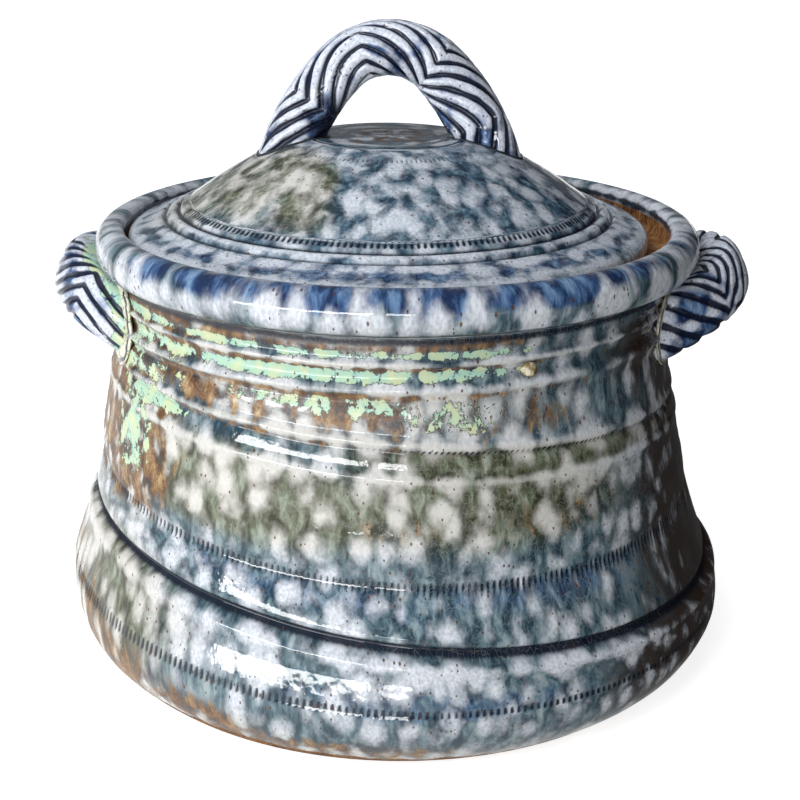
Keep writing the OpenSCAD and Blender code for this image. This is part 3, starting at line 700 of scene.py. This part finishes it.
def makeStrap(strap, name, nodes, body):
    columns, rowCount = strap["columns"], strap["rows"]
    angles = [2 * math.pi * k / columns for k in range(columns)]
    ends = [[burial(strap, a, side, strap["sink"]) for side in (-1, 1)] for a in angles]
    girth = [0.0]
    for a in angles:
        here = strapPoint(strap, 0.5, a)
        girth.append(girth[-1] + (strapPoint(strap, 0.5, a + angles[1]) - here).length)
    middles = {}
    for side, end in ((0, 0), (1, rowCount + 1)):
        points = [strapPoint(strap, ends[k][side], angles[k]) for k in range(columns)]
        middles[end] = sum(points, Vector()) / columns
    bm, layers = sheetOfRows(rowCount + 2, columns)
    for vert in bm.verts:
        k, row = round(vert.co.x) % columns, round(vert.co.y)
        if row in middles:
            vert.co = middles[row]
            continue
        share = ends[k][0] + (ends[k][1] - ends[k][0]) * (row - 1) / (rowCount - 1)
        along = share * strap["length"]
        around = girth[k] if k <= columns / 2 else girth[k] - girth[-1]
        if strap["mirror"]:
            around = abs(around)
        plain = strapPoint(strap, share, angles[k])
        offLine, half, fade = carving(strap, plain, along, around)
        cut = bell(offLine, half) * fade
        ridge = handCut["ridgeHalf"]
        swell = strap["ridge"] * bell(max(0, ridge - offLine), ridge) * fade
        vert.co = strapPoint(strap, share, angles[k], swell - strap["ridge"] - strap["lineDeep"] * cut)
        vert[layers["pool"]] = min(1.0, handCut["pool"] * cut)
        vert[layers["pale"]] = swell * handCut["crestPale"] / strap["ridge"]
        vert[layers["cobalt"]] = handCut["cobalt"] * bell(offLine, handCut["cobaltWide"] * half) * fade
        if along < strap["length"] / 2:
            depth = strap["depth"](plain) + 4 * wander(*plain, 6)
            vert[layers["mint"]] = strap["footMint"] * ease(-8, -3.5, depth)
        for field, patches in strap["patches"].items():
            for at, side, wide, tall, strength in patches:
                here = strength * math.exp(-((along - at) / wide) ** 2 - ((around - side) / tall) ** 2)
                vert[layers[field]] = max(vert[layers[field]], here)
        vert[layers["glazeMap"]] = plain * mm
    finishPiece(bm, name, strapGlaze, body, nodes)


def makeSeam(strap, name, nodes, body):  # a bead of slip round each foot, cracked along its crest
    bm = bmesh.new()
    layers = glazeLayers(bm)
    count = strap["seamColumns"]
    angles = [2 * math.pi * k / count for k in range(count)]
    for side in (-1, 1):
        old = set(bm.verts)
        ring = bmesh.ops.create_circle(bm, segments=luting["segments"], radius=0.2)["verts"]
        bmesh.ops.rotate(bm, verts=ring, cent=(0, 0, 0), matrix=Matrix.Rotation(math.pi / 2, 3, "X"))
        bmesh.ops.translate(bm, verts=ring, vec=(1, 0, 0))
        edges = list({e for v in ring for e in v.link_edges})
        bmesh.ops.spin(bm, geom=ring + edges, axis=(0, 0, 1), cent=(0, 0, 0), angle=2 * math.pi,
                       steps=count, use_merge=True)
        path = [strapPoint(strap, burial(strap, a, side, strap["seamDepth"]), a) for a in angles]
        middle = sum(path, Vector()) / count
        for vert in set(bm.verts) - old:
            k = round(math.atan2(vert.co.y, vert.co.x) / angles[1]) % count
            roll = math.atan2(vert.co.z, math.hypot(vert.co.x, vert.co.y) - 1)
            here = path[k]
            run = (path[(k + 1) % count] - path[k - 1]).normalized()
            out = strap["normal"](here)
            away = run.cross(out).normalized()
            if away.dot(here - middle) < 0:
                away.negate()
            offCrack = roll - luting["crackAt"] - luting["crackStray"] * wander(*here, luting["crackSize"])
            crack = bell(offCrack, luting["crackHalf"]) * strap["crack"]
            high = strap["beadHigh"] * (1 + luting["uneven"] * wander(*here, luting["highSize"]))
            high *= 1 - luting["crackSink"] * crack
            broad = strap["beadWide"] * (1 + luting["uneven"] * wander(*(here * 1.1), luting["wideSize"]))
            vert.co = here + out * (high * math.cos(roll)) + away * (broad * math.sin(roll))
            vert[layers["pool"]] = max(strap["seamPool"], crack)
            vert[layers["mint"]] = strap["seamMint"]
            vert[layers["pale"]] = luting["pale"]
            vert[layers["glazeMap"]] = vert.co * mm
    finishPiece(bm, name, slip, body, nodes)


lidRun = sorted(lid["edge"][2:] + lid["flange"][1:] + lid["ring"][1:] + lid["dome"][1:] + lid["disc"][1:])

# Lid handle: a bend between two bowed legs, thicker on the right
arch = {
    "bend": 22.6, "bendHalf": math.radians(46), "bow": 75, "middle": 173.75,
    "thick": 17.4, "thickLegs": 1.2, "thickRight": 1.0,
    "wide": 22, "power": 2.7, "columns": 150, "rows": 210, "sink": 1.8, "length": 121.6, "mirror": True,
    "zigzag": [  # place along the strap, drift of the lines there, how hollow the run from there is
        (0, -2, 1), (30, 19.7, 1.6), (53, 8, 1), (76, 25.4, 1.6), (99.5, 10.4, 1), (122, 22, 1)],
    "gaps": [(0, 5.3), (122, 5.3)],
    "lineHalf": [(0, 1.5), (30, 1.35), (48, 1.05), (74, 1.05), (92, 1.35), (122, 1.5)],
    "lineDeep": 1.1, "ridge": 0.4, "keep": 0.6, "plainFrom": 99, "footMint": 0.0, "seamDepth": 0.3,
    "seamColumns": 100, "beadHigh": 0.7, "beadWide": 0.8, "crack": 0.0, "seamPool": 0.9, "seamMint": 0.0,
    "patches": {  # place along, place across, how long, how broad, how strong
        # The pool and umber patches are painted shade on the inner and lower faces of the handle and its
        # legs; the cobalt patches are partly the glaze's blue wash and partly this painted shade
        "cobalt": [(29, 21, 9, 6, 1.3), (22, 26, 12, 9, 1.5), (92, 27, 9, 5, 1.0), (62, 24, 9, 5, 0.8),
                   (16, 8, 8, 6, 0.8), (106, 12, 9, 8, 0.8)],
        "pool": [(27, 25, 10, 6, 0.9), (13, 28, 10, 9, 0.8), (108, 28, 10, 9, 0.7), (96, 30, 8, 5, 0.6)],
        "umberAndShade": [(15, 32, 24, 6, 1.0), (105, 33, 20, 6, 0.9), (60, 33, 30, 5, 0.7)]},
}


def archLine(share):
    along = (share - 0.5) * arch["length"]
    side = math.copysign(1, along)
    turned = min(abs(along) / arch["bend"], arch["bendHalf"])
    bowed = abs(along) - arch["bend"] * arch["bendHalf"]
    slant = side * (turned + max(0, bowed) / arch["bow"])
    outward = Vector((math.sin(slant), 0, math.cos(slant)))
    centre = Vector((lidX, 0, arch["middle"])) + outward * arch["bend"]
    if bowed > 0:
        back = arch["bow"] - arch["bend"]
        spring = Vector((side * math.sin(arch["bendHalf"]), 0, math.cos(arch["bendHalf"])))
        centre += outward * back - spring * back
    legs = arch["thickLegs"] * ease(10, 40, abs(along))
    thick = arch["thick"] + legs + arch["thickRight"] * ease(2, 22, along)
    return centre, outward, Vector((0, -1, 0)), thick


def archDrift(along):
    for (a, low, hollow), (b, high, _) in zip(arch["zigzag"], arch["zigzag"][1:]):
        if along <= b:
            return high + (low - high) * (1 - max(0.0, along - a) / (b - a)) ** hollow
    return arch["zigzag"][-1][1]


arch["line"] = archLine
arch["drift"] = archDrift
arch["depth"] = lambda p: linear(lidRun, math.hypot(p.x - lidX, p.y)) - p.z
arch["normal"] = lambda p: Vector(((p.x - lidX) * 0.5, p.y * 0.5, 40)).normalized()
makeStrap(arch, "lid_handle_carved", ["lid_handle"], "lid")
makeSeam(arch, "lid_handle_seam", ["lid_handle_slip"], "lid")

# Lugs: half loops that rise outwards
lugs = {
    "loop": 33.6, "rise": math.radians(25), "thick": 15.0,
    "footTurn": 0.93,  # cosine of the turn of the feet, a little in front of and behind the pot's sides
    "wide": 19.8, "power": 2.7, "columns": 140, "rows": 170, "sink": 2.2, "mirror": False,
    "lineHalf": [(0, 1.3), (106, 1.3)], "lineDeep": 0.75, "ridge": 0.25, "keep": 0.6,
    "seamColumns": 100, "seamDepth": -0.7,
}
left = {
    "side": -1, "centre": (76, 109.6), "turns": [(0, -6), (25.5, 4.2), (50, -20)],
    "gaps": [(0, 5.5), (106, 5.5)], "plainFrom": 10,
    "beadHigh": 1.0, "beadWide": 3.6, "crack": 1.0, "seamPool": 0.0, "seamMint": 0.7, "footMint": 1.1,
    # umber on the lug's underside is painted shade
    "patches": {"cobalt": [(24, -8, 9, 6, 0.8)], "umberAndShade": [(30, -16, 30, 5, 0.8)]},
}
right = {
    "side": 1, "centre": (78.8, 111.2), "turns": [(0, 38), (26, -0.7), (33, 7), (37, 14), (45, 25), (52, 30)],
    "gaps": [(0, 9.6), (15, 8.6), (25, 5.8), (30, 5.6), (34, 8), (53, 9), (72, 8), (76, 5.6), (81, 5.8),
             (106, 9)],
    "plainFrom": 99,
    "beadHigh": 0.7, "beadWide": 1.1, "crack": 0.9, "seamPool": 0.4, "seamMint": 0.0, "footMint": 0.0,
    # umber under and along this lug is painted shade on the pot's dark right side
    "patches": {"cobalt": [(14, 3, 8, 6, 1.3), (10, -6, 7, 6, 1.3), (19, -7, 8, 5, 1.1),
                           (53, 0, 60, 30, 0.35)],
                "umberAndShade": [(20, -14, 30, 7, 1.0), (53, 18, 40, 8, 0.8)]},
}


def lugSettings(lug):
    side, rise = lug["side"], lugs["rise"]
    length = math.pi * lugs["loop"]
    foot = lugs["footTurn"] * side
    wall = [(at - tilt * foot + bend * foot * foot, radius + lean * foot)
            for at, radius, tilt, bend, lean in pot["wall"]]
    reach = wall + [(z, r) for r, z in pot["rim"][1:7]]
    both = mirrored(lug["turns"], length)
    middle = Vector((lug["centre"][0] * side, 0, lug["centre"][1]))

    def lugLine(share):
        turn = (share - 0.5) * math.pi
        c, s = math.cos(turn), math.sin(turn)
        way = Vector((c * math.cos(rise) * side, s, c * math.sin(rise)))
        across = Vector((-math.sin(rise) * side, 0, math.cos(rise)))
        return middle + way * lugs["loop"], way, across, lugs["thick"]

    ways = {
        "length": length, "line": lugLine,
        "drift": lambda along: linear(both, along),
        "depth": lambda p: linear(reach, p.z) - math.hypot(p.x, p.y),
        "normal": lambda p: Vector((p.x, p.y, 8)).normalized(),
    }
    return {**lugs, **ways, **lug}


leftLug = lugSettings(left)
rightLug = lugSettings(right)
makeStrap(leftLug, "left_lug_carved", ["left_lug"], "pot")
makeSeam(leftLug, "left_lug_seam", ["left_lug_slip"], "pot")
makeStrap(rightLug, "right_lug_carved", ["right_lug"], "pot")
makeSeam(rightLug, "right_lug_seam", ["right_lug_slip"], "pot")


# Stage: pale floor, window light from the left, soft light from above and behind, dark boards on the right
stage = {
    "floorRadius": 6.0, "floorTones": [(0.3, "c9c9c6"), (0.7, "cdcdca")], "floorGlow": 0.82,
    "worldTone": "e6ebf2", "worldFill": 0.3, "worldLeast": 0.35,
    "aim": Vector((0, 0, 0.1)), "windowRise": math.radians(2.3), "windowFar": 1.2,
    "windows": [  # name, turn from the front, size, power
        ("window_light", math.radians(-33), (1.1, 0.13), 8.5),
        ("pane_light", math.radians(1), (0.2, 0.13), 1.2)],
    "lamps": [  # name, place, size, power, colour
        ("key_light", (-0.7, -0.65, 0.95), (0.9, 0.9), 12.5, "fafbff"),
        ("top_light", (-0.2, 0.1, 1.4), (1.2, 1.2), 3.5, "ffffff"),
        ("back_light", (-0.8, 3.8, 1.8), (2.4, 1.6), 40, "ffffff")],
    "boardTone": "2e221a", "boardSize": (1, 1.8, 1), "boardFade": (0.01, 0.12), "boardGlow": (0.95, 0.04),
}


def seenDirectly(tree):  # 1 for what the camera sees, straight or in a shiny or clear surface
    path = putNode(tree, "LightPath")
    seen = put(tree, "Math", {0: path.outputs["Is Camera Ray"], 1: path.outputs["Is Glossy Ray"]},
               operation="MAXIMUM")
    return put(tree, "Math", {0: seen, 1: path.outputs["Is Transmission Ray"]}, operation="MAXIMUM")


def makeFloor():  # matt and pale, and white where the camera sees it lit, so that only the shadow shows
    material, tree = blankMaterial("pale_studio_floor")
    grit = put(tree, "TexNoise", {"Vector": put(tree, "TexCoord", out=3), "Scale": 40.0})
    matte = put(tree, "BsdfDiffuse", {"Color": put(tree, "ValToRGB", {0: grit}, stops=stage["floorTones"])})
    glow = put(tree, "Math", {0: seenDirectly(tree), 1: stage["floorGlow"]}, operation="MULTIPLY")
    shine = put(tree, "Emission", {"Color": (1, 1, 1, 1), "Strength": glow})
    put(tree, "OutputMaterial", {"Surface": put(tree, "AddShader", {0: matte, 1: shine})})
    bm = bmesh.new()
    bmesh.ops.create_circle(bm, cap_ends=True, segments=64, radius=stage["floorRadius"])
    bmesh.ops.translate(bm, verts=bm.verts, vec=(0, 0, -0.1 * mm))
    floor = toObject(bm, "floor", material)


def makeBoards():  # seen only in the shine of the right side
    dark, tree = blankMaterial("dark_board")
    put(tree, "OutputMaterial", {"Surface": put(tree, "BsdfDiffuse", {"Color": tint(stage["boardTone"])})})
    graded, tree = blankMaterial("graded_board")  # as bright as the floor at its left edge
    across = put(tree, "SeparateXYZ", {0: put(tree, "TexCoord", out=3)})
    (begin, end), (bright, dim) = stage["boardFade"], stage["boardGlow"]
    glow = put(tree, "MapRange", {0: across, 1: begin, 2: end, 3: bright, 4: dim},
               interpolation_type="SMOOTHSTEP")
    put(tree, "OutputMaterial", {"Surface": put(tree, "Emission", {"Strength": glow})})
    for name, material, lean, place in (("board_upright", dark, math.pi / 2, (0.6, 0.3, 0.5)),
                                        ("board_flat", graded, 0, (0.51, 0.2, mm))):
        bm = bmesh.new()
        bmesh.ops.create_grid(bm, x_segments=1, y_segments=1, size=0.5)
        bmesh.ops.scale(bm, verts=bm.verts, vec=stage["boardSize"])
        bmesh.ops.rotate(bm, verts=bm.verts, cent=(0, 0, 0), matrix=Matrix.Rotation(lean, 3, "Y"))
        bmesh.ops.translate(bm, verts=bm.verts, vec=place)
        board = toObject(bm, name, material)
        board.visible_camera = False
        board.visible_diffuse = False
        board.visible_shadow = False


def addLamp(name, place, size, power, colour, shiny):
    lamp = bpy.data.lights.new(name, "AREA")
    lamp.shape = "RECTANGLE"
    lamp.size, lamp.size_y = size
    lamp.energy = power
    lamp.color = tint(colour)[:3]
    rig = bpy.data.objects.new(name, lamp)
    rig.location = place
    rig.rotation_euler = (stage["aim"] - Vector(place)).to_track_quat("-Z", "Y").to_euler()
    rig.visible_glossy = shiny
    bpy.context.scene.collection.objects.link(rig)


def makeWorld():  # dim sky, brighter from the left than from the right
    world = bpy.data.worlds.new("studio")
    bpy.context.scene.world = world
    world.use_nodes = True
    tree = world.node_tree
    tree.nodes.clear()
    way = put(tree, "SeparateXYZ", {0: put(tree, "TexCoord")})
    most = stage["worldFill"]
    fill = put(tree, "MapRange", {0: way, 1: -0.5, 2: 0.6, 3: most, 4: most * stage["worldLeast"]})
    sky = put(tree, "Background", {"Color": tint(stage["worldTone"]), "Strength": fill})
    put(tree, "OutputWorld", {"Surface": sky})


makeFloor()
makeBoards()
makeWorld()
rise = stage["windowRise"]
for name, turn, size, power in stage["windows"]:
    way = Vector((math.sin(turn) * math.cos(rise), -math.cos(turn) * math.cos(rise), math.sin(rise)))
    addLamp(name, stage["aim"] + stage["windowFar"] * way, size, power, "ffffff", True)
for name, place, size, power, colour in stage["lamps"]:
    addLamp(name, place, size, power, colour, False)
print("stage lit")

# Camera: where the photograph was taken from
view = {
    "pixels": 800, "focal": 1363.4, "back": 0.4488, "up": 0.2405,
    "pitch": 20.125, "yaw": 0.155, "roll": 0.476,
}
pitch, yaw, roll = (math.radians(view[k]) for k in ("pitch", "yaw", "roll"))
ahead = Vector((math.sin(yaw) * math.cos(pitch), math.cos(yaw) * math.cos(pitch), -math.sin(pitch)))
level = Vector((math.cos(yaw), -math.sin(yaw), 0))
upright = level.cross(ahead)
toRight = level * math.cos(roll) + upright * math.sin(roll)
toTop = upright * math.cos(roll) - level * math.sin(roll)
lens = bpy.data.cameras.new("camera")
lens.sensor_width = 36
lens.lens = view["focal"] * lens.sensor_width / view["pixels"]
lens.clip_start = 0.01
camera = bpy.data.objects.new("camera", lens)
facing = Matrix((toRight, toTop, -ahead)).transposed().to_4x4()
camera.matrix_world = Matrix.Translation((0, -view["back"], view["up"])) @ facing
bpy.context.scene.collection.objects.link(camera)
bpy.context.scene.camera = camera
bpy.context.scene.view_settings.view_transform = "Standard"
print("camera set")
